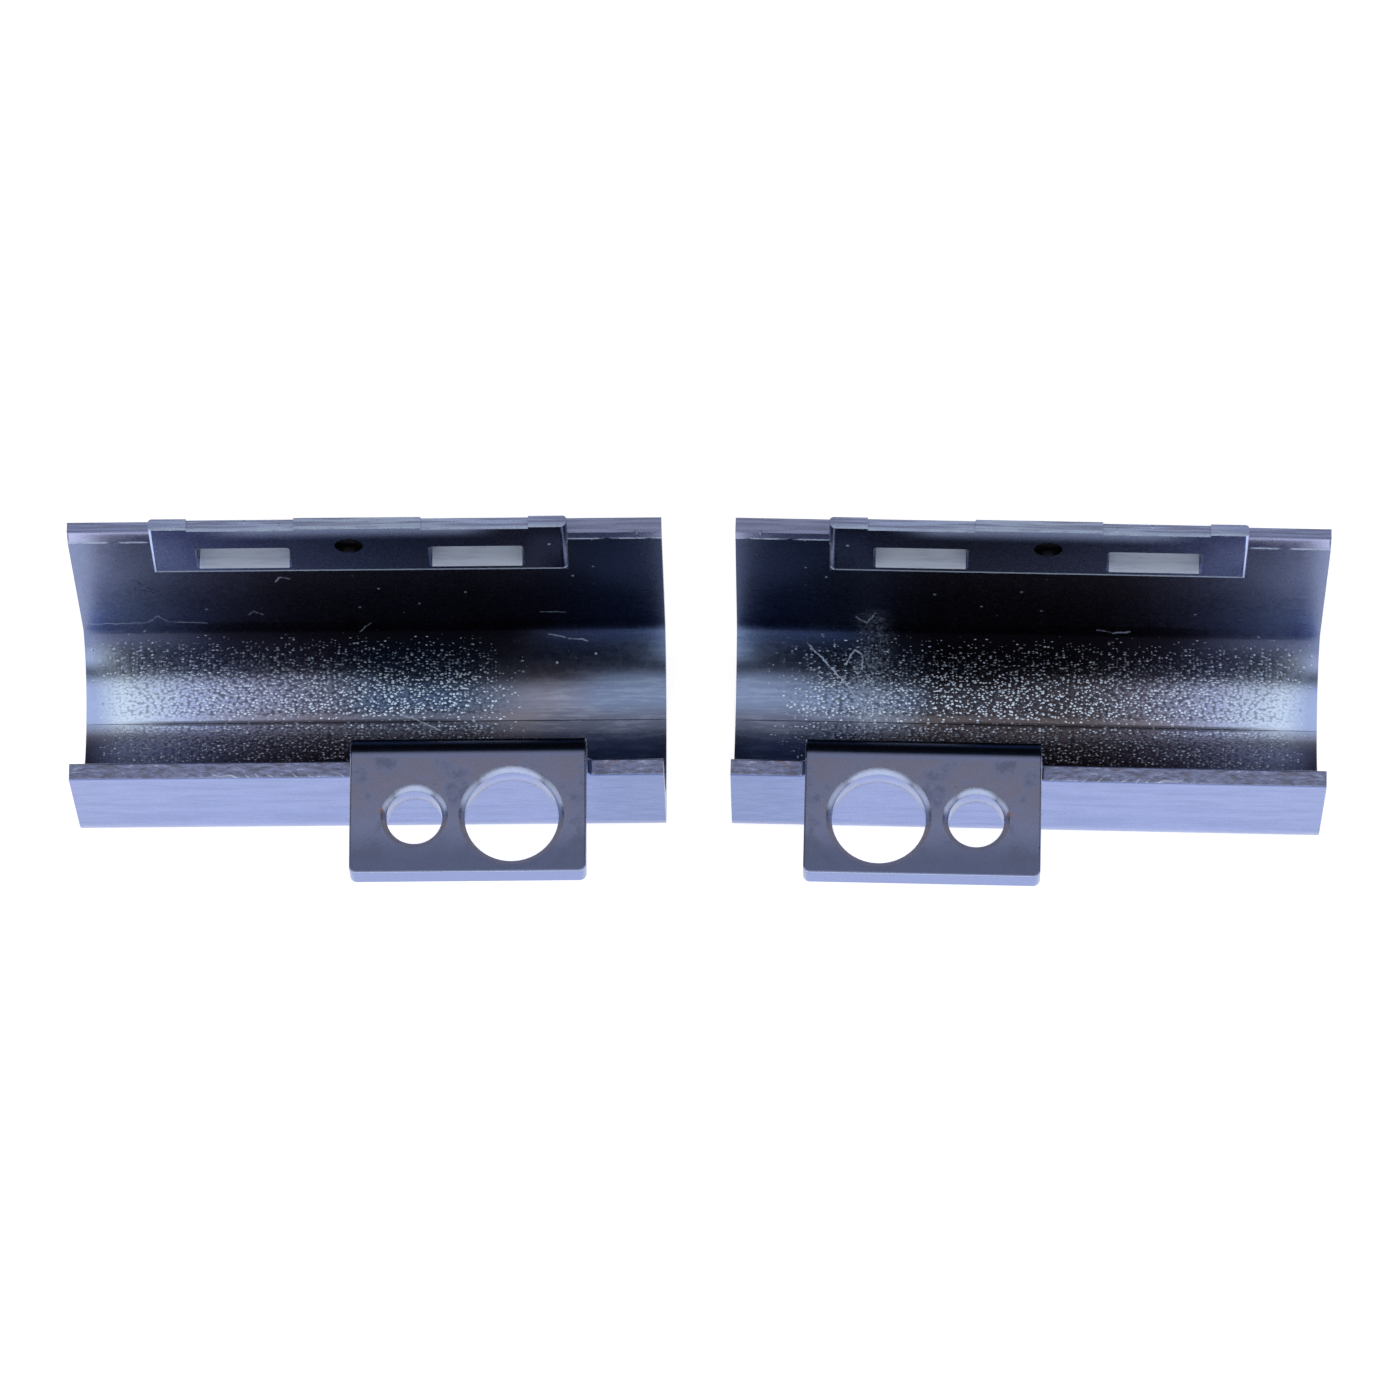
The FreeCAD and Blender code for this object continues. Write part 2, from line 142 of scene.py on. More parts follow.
WALL_PAINTED_LIGHT = [
    (0.3, (0.22, 0.27, 0.46)), (2.0, (0.33, 0.38, 0.60)), (4.0, (0.27, 0.31, 0.47)),
    (7.5, (0.14, 0.145, 0.23)),
    (11.0, (0.06, 0.055, 0.09)), (20.0, (0.042, 0.043, 0.075)), (24.0, (0.046, 0.06, 0.12)),
    (27.0, (0.06, 0.09, 0.19)),
]
TONGUE_COLOURS = [
    (4.5, (0.46, 0.55, 0.92)), (9.0, (0.28, 0.36, 0.64)), (14.0, (0.19, 0.27, 0.52)),
    (19.0, (0.14, 0.19, 0.36)), (24.0, (0.115, 0.145, 0.265)),
]
STRIP_COLOURS = [
    (2.0, (0.42, 0.49, 0.86)), (6.0, (0.53, 0.63, 1.0)), (16.0, (0.60, 0.72, 1.0)), (22.0, (0.53, 0.63, 1.0)),
    (27.0, (0.42, 0.46, 0.74)),
]
BRIGHT_PLATE = (0.23, 0.29, 0.56)
OUTER_PLATE = (0.235, 0.265, 0.40)
HOLE_PLATE = (0.25, 0.30, 0.50)
SHADE_PLATE = (0.14, 0.20, 0.43)
CLOUD_PLATE = (0.245, 0.275, 0.455)
TAB_EDGE_PLATE = (0.13, 0.16, 0.29)
TAB_FRONT_PLATE = (0.20, 0.26, 0.53)
TAB_BROWN = (0.27, 0.262, 0.37)
TAB_SHADE = (0.14, 0.155, 0.25)
BEND_PAINTED_SHADE = (0.03, 0.042, 0.08)
LIP_PLATE = (0.32, 0.365, 0.61)
LIP_BROWN = (0.20, 0.185, 0.235)
LIP_SCRAPES = (0.58, 0.63, 0.86)
BRUSHED_PLATE = (0.30, 0.36, 0.64)
WALL_END_PLATE = (0.50, 0.54, 0.82)
RIM_PLATE = (0.36, 0.33, 0.40)
GLOW_PLATE = (0.50, 0.60, 0.95)
INNER_PLATE = (0.21, 0.30, 0.54)
BROWN_PLATE = (0.20, 0.165, 0.165)
INNER_SHADE = (0.105, 0.112, 0.165)
SPECK_AND_GLINT = (0.68, 0.81, 1.0)
BARE_LEDGE = (0.73, 0.83, 1.0)
WORN_EDGE_AND_HIGHLIGHT = (0.68, 0.77, 1.0)
BLACK = (0.012, 0.012, 0.018)
COPPER = (0.44, 0.22, 0.16)
LINT_AND_HIGHLIGHT = (0.60, 0.74, 1.0)

# Marks in the channels, as lines: millimetres along the cover and around the channel from its lowest line
LEFT_RIDGES = [
    [(0.4, 6.4), (3.37, 6.48), (3.95, 7.27), (4.45, 6.6), (6.44, 6.38)],
    [(10.21, 10.67), (10.49, 10.96), (10.95, 10.85)],
    [(8.64, 7.32), (8.93, 7.74), (9.31, 7.3)],
    [(14.27, 5.48), (14.84, 6.25)],
    [(16.25, 0.91), (18.31, 0.03)],
    [(23.62, 7.36), (24.95, 7.32)],
    [(23.99, 5.21), (25.97, 4.76)],
]
LEFT_SCRATCHES = [
    [(2.98, 10.85), (4.23, 9.9)],
    [(2.98, 10.21), (3.97, 9.82)],
]
RIGHT_LINT = [
    [(26.3, 4.59), (24.18, 2.32), (22.81, 0.44)],
    [(23.85, 6.91), (23.31, 6.29), (22.86, 7.42)],
    [(24.33, 3.57), (23.95, 4.32), (23.54, 4.18), (23.46, 3.44)],
    [(11.48, 6.0), (10.61, 5.75), (9.76, 5.89)],
]
RIGHT_SMEAR = [(22.95, 6.97), (22.83, 4.84), (23.1, 2.75), (23.0, 0.81)]

# Spots of bare copper underplate, as places in the cover's frame, and how long each is
COPPER_LENGTH = 0.3
COPPER_SPOTS = [(27.2, 7.35, 9.65), (16.0, 3.3, 13.4), (24.4, 2.7, 13.4)]


class Term:
    """A number inside a material's graph, so that a pattern reads as a formula."""

    def __init__(self, graph, socket):
        self.graph = graph
        self.socket = socket

    def __add__(self, other):
        return self.graph.math("ADD", self, other)

    def __sub__(self, other):
        return self.graph.math("SUBTRACT", self, other)

    def __rsub__(self, other):
        return self.graph.math("SUBTRACT", other, self)

    def __mul__(self, other):
        return self.graph.math("MULTIPLY", self, other)

    def __truediv__(self, other):
        return self.graph.math("DIVIDE", self, other)

    __radd__ = __add__
    __rmul__ = __mul__


class Graph:
    """The nodes of one material."""

    def __init__(self, tree):
        self.tree = tree
        tree.nodes.clear()

    def add(self, kind, **settings):
        node = self.tree.nodes.new(kind)
        for name, setting in settings.items():
            setattr(node, name, setting)
        return node

    def feed(self, socket, source):
        if isinstance(source, Term):
            self.tree.links.new(source.socket, socket)
        elif isinstance(source, bpy.types.NodeSocket):
            self.tree.links.new(source, socket)
        else:
            socket.default_value = source

    def math(self, operation, *values):
        node = self.add("ShaderNodeMath", operation=operation)
        for socket, source in zip(node.inputs, values):
            self.feed(socket, source)
        return Term(self, node.outputs[0])

    def smooth(self, term, low, high):
        """0 below low, 1 above high, and an even slope between them."""
        node = self.add("ShaderNodeMapRange", interpolation_type="SMOOTHSTEP")
        self.feed(node.inputs["Value"], term)
        node.inputs["From Min"].default_value = low
        node.inputs["From Max"].default_value = high
        return Term(self, node.outputs["Result"])

    def band(self, term, low, high, soft):
        """1 between low and high, and 0 beyond soft edges."""
        return self.smooth(term, low - soft, low) * (1.0 - self.smooth(term, high, high + soft))

    def split(self, vector):
        """The three numbers of a vector."""
        node = self.add("ShaderNodeSeparateXYZ")
        self.feed(node.inputs[0], vector)
        return [Term(self, socket) for socket in node.outputs]

    def noise(self, place, scale, detail=2.0, roughness=0.5):
        """Soft random numbers from 0 to 1, in patches of about 1 / scale."""
        node = self.add("ShaderNodeTexNoise")
        self.feed(node.inputs["Vector"], place)
        node.inputs["Scale"].default_value = scale
        node.inputs["Detail"].default_value = detail
        node.inputs["Roughness"].default_value = roughness
        return Term(self, node.outputs["Fac"])

    def mix(self, share, first, second):
        """A colour between two, by share."""
        node = self.add("ShaderNodeMix", data_type="RGBA")
        self.feed(node.inputs[0], share)
        for socket, colour in ((node.inputs[6], first), (node.inputs[7], second)):
            self.feed(socket, (*colour, 1.0) if isinstance(colour, tuple) else colour)
        return node.outputs[2]


def cover_coordinates(graph, hand):
    """Places on a cover in its own millimetres, the same way round on both covers."""
    low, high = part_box("left_hinge_cover")
    turn = Matrix.Rotation(-LAY_TURN, 4, "Z")
    outer_end = low.x / MM + WALL_BACK * math.sin(LAY_TURN)
    near_edge = high.y / MM - WALL_BACK * math.cos(LAY_TURN) - COVER_LENGTH * math.sin(LAY_TURN)
    start = turn @ Vector((outer_end, near_edge, 0.0))
    mapping = graph.add("ShaderNodeMapping", vector_type="POINT")
    graph.tree.links.new(graph.add("ShaderNodeTexCoord").outputs["Object"], mapping.inputs["Vector"])
    mapping.inputs["Scale"].default_value = (hand / MM, 1.0 / MM, 1.0 / MM)
    mapping.inputs["Rotation"].default_value = (0.0, 0.0, -LAY_TURN)
    mapping.inputs["Location"].default_value = -start
    return mapping.outputs["Vector"]


def from_line(graph, place, points):
    """Distance from a line through points, in millimetres."""
    nearest = None
    for start, end in zip(points, points[1:]):
        start, end = Vector(start).to_3d(), Vector(end).to_3d()
        run = end - start
        offset = graph.add("ShaderNodeVectorMath", operation="SUBTRACT")
        graph.feed(offset.inputs[0], place)
        offset.inputs[1].default_value = start
        along = graph.add("ShaderNodeVectorMath", operation="DOT_PRODUCT")
        graph.feed(along.inputs[0], offset.outputs[0])
        along.inputs[1].default_value = run / run.length_squared
        share = graph.add("ShaderNodeClamp")
        graph.feed(share.inputs[0], along.outputs["Value"])
        foot = graph.add("ShaderNodeVectorMath", operation="SCALE")
        foot.inputs[0].default_value = run
        graph.feed(foot.inputs["Scale"], share.outputs[0])
        gap = graph.add("ShaderNodeVectorMath", operation="DISTANCE")
        graph.feed(gap.inputs[0], offset.outputs[0])
        graph.feed(gap.inputs[1], foot.outputs[0])
        distance = Term(graph, gap.outputs["Value"])
        nearest = distance if nearest is None else graph.math("MINIMUM", nearest, distance)
    return nearest


def lines(graph, place, group, width):
    """1 on each of several lines and 0 beside them."""
    drawn = None
    for points in group:
        line = 1.0 - graph.smooth(from_line(graph, place, points), width * 0.3, width)
        drawn = line if drawn is None else graph.math("MAXIMUM", drawn, line)
    return drawn


def stretched(graph, place, scale):
    """The same places, with each direction scaled."""
    node = graph.add("ShaderNodeVectorMath", operation="MULTIPLY")
    graph.feed(node.inputs[0], place)
    node.inputs[1].default_value = scale
    return node.outputs[0]


def wobbled(graph, place, scale, reach):
    """The same places, shifted a little by noise, so that drawn lines aren't straight."""
    noise = graph.add("ShaderNodeTexNoise")
    graph.feed(noise.inputs["Vector"], place)
    noise.inputs["Scale"].default_value = scale
    shift = graph.add("ShaderNodeVectorMath", operation="MULTIPLY_ADD")
    graph.feed(shift.inputs[0], noise.outputs["Color"])
    shift.inputs[1].default_value = (reach, reach, reach)
    shift.inputs[2].default_value = (-reach / 2, -reach / 2, -reach / 2)
    total = graph.add("ShaderNodeVectorMath", operation="ADD")
    graph.feed(total.inputs[0], place)
    graph.feed(total.inputs[1], shift.outputs[0])
    return total.outputs[0]


def cells(graph, place, scale, dimensions="3D"):
    """Scattered points: distance from the nearest one, in its own cells, and two chances of that point."""
    node = graph.add("ShaderNodeTexVoronoi", voronoi_dimensions=dimensions)
    graph.feed(node.inputs["Vector"], place)
    node.inputs["Scale"].default_value = scale
    chance = graph.add("ShaderNodeSeparateColor")
    graph.feed(chance.inputs[0], node.outputs["Color"])
    first, second, _ = chance.outputs
    return Term(graph, node.outputs["Distance"]), Term(graph, first), Term(graph, second)


def along_cover(graph, u, stops):
    """A colour that changes along the cover."""
    node = graph.add("ShaderNodeValToRGB")
    graph.feed(node.inputs[0], u / COVER_LENGTH)
    ramp = node.color_ramp
    while len(ramp.elements) < len(stops):
        ramp.elements.new(1.0)
    for element, (place, colour) in zip(ramp.elements, stops):
        element.position = place / COVER_LENGTH
        element.color = (*colour, 1.0)
    return node.outputs["Color"]


class Skin:
    """Where a point of a cover's skin lies and which way it faces, in the cover's own frame."""

    def __init__(self, graph, hand):
        self.graph = graph
        self.place = cover_coordinates(graph, hand)
        self.u, self.v, self.w = graph.split(self.place)
        _, self.backward, rising = graph.split(graph.add("ShaderNodeNewGeometry").outputs["True Normal"])
        self.upward = graph.smooth(rising, 0.8, 0.97)
        self.slanting = graph.smooth(rising, 0.3, 0.5) * (1.0 - self.upward)
        self.wander = (graph.noise(self.place, 0.3, 2.0) - 0.5) * 4.0
        self.streaks = graph.noise(stretched(graph, self.place, (0.1, 1.0, 1.0)), 6.0, 3.0, 0.6)
        self.patches = graph.noise(stretched(graph, self.place, (0.6, 1.0, 1.0)), 1.7, 3.0, 0.6)
        self.scraped = graph.noise(stretched(graph, self.place, (0.5, 1.0, 1.0)), 3.4, 4.0, 0.7)

        # the side that faces into the channel
        past_lip = graph.smooth(self.v, LIP_INNER - 0.1, LIP_INNER + 0.02)
        from_wall = self.v - (self.w - WALL_TOP) * WALL_SLOPE - WALL_INNER
        across = self.v - TROUGH_Y
        down = TROUGH_Z - self.w
        from_axis = graph.math("SQRT", across * across + down * down)
        in_trough = 1.0 - graph.smooth(from_axis, TROUGH_RADIUS + 0.05, TROUGH_RADIUS + 0.3)
        open_side = graph.math("MAXIMUM", in_trough, graph.smooth(self.w, TROUGH_Z - 0.4, TROUGH_Z))
        level_end = self.upward * graph.smooth(self.w, *LEVEL_ENDS)
        self.inside = past_lip * (1.0 - graph.smooth(from_wall, 0.02, 0.1)) * open_side * (1.0 - level_end)
        around = graph.add("ShaderNodeCombineXYZ")
        graph.feed(around.inputs[0], self.u)
        graph.feed(around.inputs[1], graph.math("ARCTAN2", across, down) * TROUGH_RADIUS)
        self.unrolled = around.outputs[0]
        self.front = graph.smooth(self.backward * -1.0, 0.8, 0.95) * (1.0 - self.inside)

        # the tab and the rims of its holes, of which the near halves face away from the light
        self.on_tab = (1.0 - graph.smooth(self.v, *TAB_BACK)) * graph.smooth(self.w, *TAB_RIMS)
        self.rim = self.slanting * self.on_tab
        self.near_rim = graph.smooth(self.backward, -0.1, 0.2)

        # the tongue, its slots, the painted highlight along the top of the tongue's face, and the scraped
        # ends of the wall and lip
        self.behind = graph.smooth(self.v, *WALL_SIDE)
        from_middle = graph.math("ABSOLUTE", self.u - TONGUE_MIDDLE)
        self.on_tongue = 1.0 - graph.smooth(from_middle, TONGUE_LENGTH / 2 - 0.1, TONGUE_LENGTH / 2)
        self.eased = self.on_tongue * self.behind * graph.smooth(self.w, TONGUE_TOP - 1.3, TONGUE_TOP)
        on_stretch = graph.band(self.u + self.wander * 0.3, *EASED_STRETCH, 3.0)
        self.eased = self.eased * on_stretch * (1.0 - self.upward)
        self.strip = self.upward * graph.smooth(self.v, *STRIP_SIDE) * graph.smooth(self.w, *STRIP_HEIGHT)
        self.ledge = self.upward * self.behind * graph.band(self.w, SLOT_LEDGE - 0.1, SLOT_LEDGE + 0.3, 0.1)
        at_lip_top = graph.band(self.w, LIP_TOP - 0.05, LIP_TOP + 0.1, 0.1)
        self.lip_end = self.upward * graph.smooth(self.v, *LIP_FRONT) * at_lip_top


def outside_plate(skin):
    """Bright bluish plating, cloudy on the level faces, with scraped ends and the rims of the holes."""
    graph, u, v, w = skin.graph, skin.u, skin.v, skin.w
    inner_end = graph.smooth(u + skin.wander * 0.5, *INNER_SHADOW)
    plate = graph.mix(inner_end * 0.9, BRIGHT_PLATE, SHADE_PLATE)
    plate = graph.mix(graph.smooth(v, *LIP_BACK), plate, OUTER_PLATE)
    plate = graph.mix((1.0 - graph.smooth(v, *TAB_BACK)) * (1.0 - skin.front) * 0.9, plate, HOLE_PLATE)
    clouds = graph.smooth(graph.noise(skin.place, 0.4, 3.0, 0.6), 0.36, 0.62)
    plate = graph.mix(skin.front * graph.smooth(skin.streaks, 0.35, 0.7) * 0.4, plate, BRUSHED_PLATE)
    rolled = graph.noise(stretched(graph, skin.place, (0.12, 1.0, 0.9)), 1.6, 3.0, 0.6)
    plate = graph.mix(skin.front * graph.smooth(rolled, 0.42, 0.66) * 0.4, plate, SHADE_PLATE)
    plate = graph.mix(skin.front * (1.0 - graph.smooth(v, *TAB_FRONT)), plate, TAB_FRONT_PLATE)
    plate = graph.mix(skin.upward * (0.8 + 0.2 * clouds), plate, CLOUD_PLATE)
    tab_top = skin.on_tab * skin.upward
    near_edge = 1.0 - graph.smooth(v + skin.wander * 0.3, *TAB_NEAR_EDGE)
    plate = graph.mix(tab_top * near_edge * 0.85, plate, TAB_EDGE_PLATE)
    mottle = graph.noise(skin.place, 0.55, 4.0, 0.65)
    far_half = graph.smooth(v + skin.wander * 0.4, *TAB_FAR_HALF)
    plate = graph.mix(tab_top * far_half * graph.smooth(mottle, 0.40, 0.55) * 0.7, plate, TAB_BROWN)
    plate = graph.mix(tab_top * (1.0 - graph.smooth(mottle, 0.34, 0.47)) * 0.6, plate, TAB_SHADE)
    # painted highlight on the far halves of the hole rims, which face the front light
    plate = graph.mix(skin.rim * (1.0 - skin.near_rim) * 0.45, plate, WORN_EDGE_AND_HIGHLIGHT)
    plate = graph.mix(skin.rim * skin.near_rim, plate, RIM_PLATE)
    # painted shade across the tab's bend, which mirrors the dark above it
    bend_shade = graph.band(v, *BEND, 0.25) * graph.smooth(w, *BEND_HEIGHT)
    plate = graph.mix(bend_shade, plate, BEND_PAINTED_SHADE)
    strip_colour = along_cover(graph, u + skin.wander * 0.4, STRIP_COLOURS)
    drawn = graph.noise(stretched(graph, skin.place, (0.04, 1.6, 1.0)), 6.0, 2.0, 0.6)
    plate = graph.mix(skin.strip * (0.25 + 0.75 * graph.smooth(drawn, 0.38, 0.6)), plate, strip_colour)
    # painted highlight along the front edge of the tongue's top
    bright_line = skin.strip * skin.on_tongue * (1.0 - graph.smooth(v, TONGUE_FACE + 0.08, TONGUE_FACE + 0.2))
    plate = graph.mix(bright_line * (0.4 + 0.6 * graph.smooth(skin.patches, 0.4, 0.6)), plate, LINT_AND_HIGHLIGHT)
    plate = graph.mix(skin.lip_end * (0.8 + 0.2 * clouds), plate, LIP_PLATE)
    plate = graph.mix(skin.lip_end * graph.smooth(skin.scraped, 0.46, 0.6) * 0.6, plate, LIP_BROWN)
    plate = graph.mix(skin.lip_end * (1.0 - graph.smooth(skin.scraped, 0.34, 0.43)) * 0.7, plate, LIP_SCRAPES)

    # slanting burrs along the front of the lip's end: real burrs, painted bright as highlights
    slant = graph.math("SINE", (u + (v - BURR_FRONT) * BURR_SLANT + skin.wander) * BURR_RATE)
    burrs = graph.smooth(slant, 0.8, 0.95) * skin.lip_end * (1.0 - graph.smooth(v, 6.65, 6.85))
    burrs = burrs * graph.band(u, *BURR_STRETCH, 1.0) * graph.smooth(skin.patches, 0.4, 0.5)
    return graph.mix(burrs * 0.8, plate, WORN_EDGE_AND_HIGHLIGHT)


def lining_plate(skin, trough_painted_light):
    """The channel's plating, with painted reflection bright at the open ends and painted shade deepening to
    the middle, darkest under the wall.
    """
    graph, u, v, w = skin.graph, skin.u, skin.v, skin.w
    # painted reflection and shade: wall and trough bright at the open outer end, dark in the middle
    wall = along_cover(graph, u + skin.wander * 0.6, WALL_PAINTED_LIGHT)
    trough = along_cover(graph, u + skin.wander * 0.5, trough_painted_light)
    inner_end = graph.smooth(u + skin.wander * 0.4, *INNER_END)
    near_side = 1.0 - graph.smooth(v, FLOW_LINE_Y - 0.9, FLOW_LINE_Y + 0.3)
    over_line = (1.0 - graph.smooth(v, FLOW_LINE_Y, 13.9)) * graph.smooth(u, 4.0, 8.0)
    near_line = graph.math("MAXIMUM", near_side * 0.7, over_line * (0.45 + 0.3 * inner_end))
    trough = graph.mix(near_line, trough, graph.mix(inner_end, BROWN_PLATE, INNER_SHADE))
    far_side = graph.smooth(v, *FAR_SIDE)
    trough = graph.mix(inner_end * far_side * graph.smooth(w, 1.6, 2.6) * 0.8, trough, INNER_PLATE)
    rise = graph.math("MAXIMUM", graph.smooth(w, 3.3, 4.2), graph.smooth(w, 2.0, 3.6) * (1.0 - inner_end))
    plate = graph.mix(rise * far_side, trough, wall)
    shaded = graph.smooth(w, 1.9, 3.4) * (1.0 - graph.smooth(w, 4.3, 4.6)) * far_side
    plate = graph.mix(shaded * graph.band(u + skin.wander * 0.3, *SHADED_STRETCH, 5.0) * 0.65, plate, BLACK)
    inner_streaks = graph.smooth(skin.streaks, 0.45, 0.65) * inner_end
    plate = graph.mix(inner_streaks * (1.0 - graph.smooth(w, 3.0, 4.4)) * 0.12, plate, SPECK_AND_GLINT)
    plate = graph.mix(graph.smooth(w, 4.2, 4.5) * (1.0 - graph.smooth(v, 8.0, 12.0)), plate, BROWN_PLATE)
    tongue = skin.on_tongue * skin.behind * graph.smooth(w, TONGUE_BOTTOM - 0.1, TONGUE_BOTTOM)
    # painted highlight along the top of the tongue's face
    face = graph.mix(skin.eased * 0.8, along_cover(graph, u, TONGUE_COLOURS), GLOW_PLATE)
    return graph.mix(tongue, plate, face)


def pebble_pattern(skin, inner_limit):
    """Grains in the trough, which take painted glints, sparse under the wall, dense to the flow line and fine
    towards the lip, and the hollows between them, which take painted shade.
    """
    graph, u, v, w = skin.graph, skin.u, skin.v, skin.w
    ends = graph.smooth(u + skin.wander * 0.3, -0.3, 3.0)
    ends = ends * (1.0 - graph.smooth(u + skin.wander * 0.4, inner_limit - 4.5, inner_limit))
    smooth_band = graph.band(v, *SMOOTH_BAND, 0.3)
    share = ends * (1.0 - graph.smooth(w, 1.5, 3.9)) * (0.35 + 0.65 * graph.smooth(v, 9.5, 12.0))
    share = share * (1.0 - 0.65 * smooth_band) * skin.inside
    ragged = wobbled(graph, skin.unrolled, 7.0, 0.16)
    distance, chance, size = cells(graph, stretched(graph, ragged, (0.62, 1.0, 1.0)), 8.2, "2D")
    lit = graph.smooth(chance + share * 0.75, 0.96, 1.12)
    grains = (1.0 - graph.smooth(distance / (0.3 + 0.95 * size), 0.08, 0.45)) * lit
    shaded_hollows = graph.smooth(distance, 0.35, 0.7) * share
    return grains, share, shaded_hollows


def lint_and_marks(skin, left, plate):
    """The plate's colour with its drawn marks, and where dust and lint lie on it, with the left cover's
    ridges painted pale as highlights.
    """
    graph, place = skin.graph, skin.place
    apart, pick, _ = cells(graph, place, 0.9)
    lint_and_highlights = (1.0 - graph.smooth(apart, 0.05, 0.09)) * graph.smooth(pick, 0.62, 0.64) * 0.8
    bent = wobbled(graph, skin.unrolled, 2.5, 0.25)
    if left:
        plate = graph.mix(lines(graph, bent, LEFT_SCRATCHES, 0.07) * skin.inside * 0.6, plate, BLACK)
        # the left channel's ridges, painted pale as their highlights
        lint_and_highlights = graph.math("MAXIMUM", lint_and_highlights, lines(graph, bent, LEFT_RIDGES, 0.06) * 0.7)
    else:
        smear = 1.0 - graph.smooth(from_line(graph, skin.unrolled, RIGHT_SMEAR), 0.2, 1.4)
        fluff = graph.smooth(graph.noise(wobbled(graph, place, 4.0, 0.8), 5.0, 4.0, 0.7), 0.46, 0.64)
        lint_and_highlights = graph.math("MAXIMUM", lint_and_highlights, lines(graph, bent, RIGHT_LINT, 0.065) * 0.9)
        lint_and_highlights = graph.math("MAXIMUM", lint_and_highlights, smear * fluff * 0.5)
    lint_and_highlights = lint_and_highlights * skin.inside
    copper = None
    ragged = wobbled(graph, place, 3.0, 0.6)
    for start in COPPER_SPOTS:
        end = (start[0] + COPPER_LENGTH, *start[1:])
        spot = 1.0 - graph.smooth(from_line(graph, ragged, [start, end]), 0.05, 0.4)
        copper = spot if copper is None else graph.math("MAXIMUM", copper, spot)
    plate = graph.mix(copper * graph.smooth(graph.noise(place, 6.0, 2.0), 0.45, 0.6) * 0.8, plate, COPPER)
    return graph.mix(lint_and_highlights, plate, LINT_AND_HIGHLIGHT), lint_and_highlights


